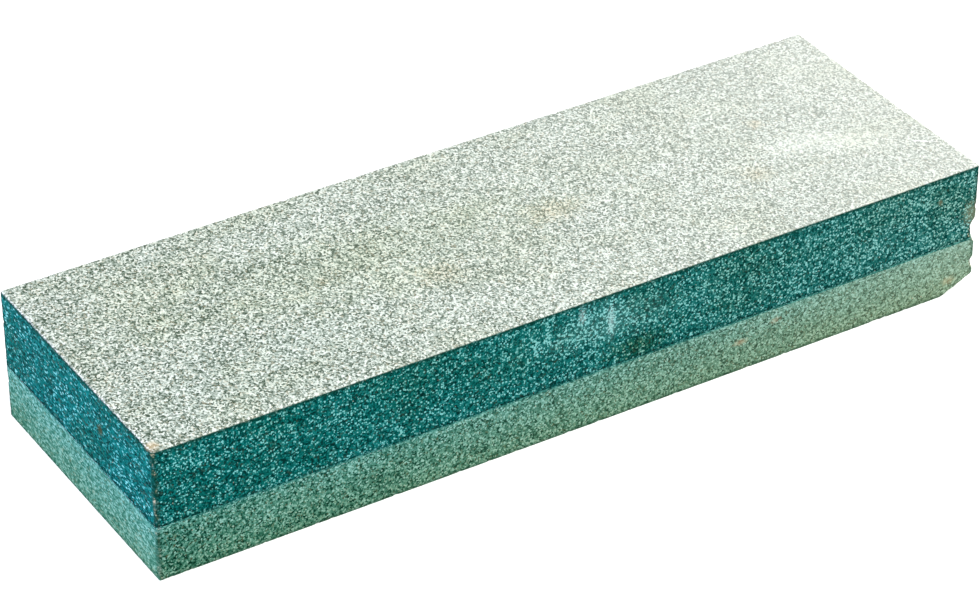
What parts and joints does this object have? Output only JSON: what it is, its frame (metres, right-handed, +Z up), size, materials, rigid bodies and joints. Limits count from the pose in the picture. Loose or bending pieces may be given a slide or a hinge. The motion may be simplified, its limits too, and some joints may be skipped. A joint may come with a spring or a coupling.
{
  "type": "sharpening whetstone",
  "caption": "Rectangular combination bench stone: a dark coarse-grit slab glued on a paler fine-grit slab, with rounded arrises and a chipped corner.",
  "frame": {"origin": "middle of the underside, which is the fine grit's working face", "axes": "+X along the length, +Z up from the fine face to the coarse face, -Y towards the long side with the chipped right end"},
  "size_m": [0.15, 0.0506, 0.0235],
  "materials": {
    "coarse_grit": "matte",
    "glue": "satin",
    "fine_grit": "matte"
  },
  "bodies": {
    "root": {"coarse_stone": "coarse_grit", "bond_layer": "glue", "fine_stone": "fine_grit"}
  },
  "joints": []
}
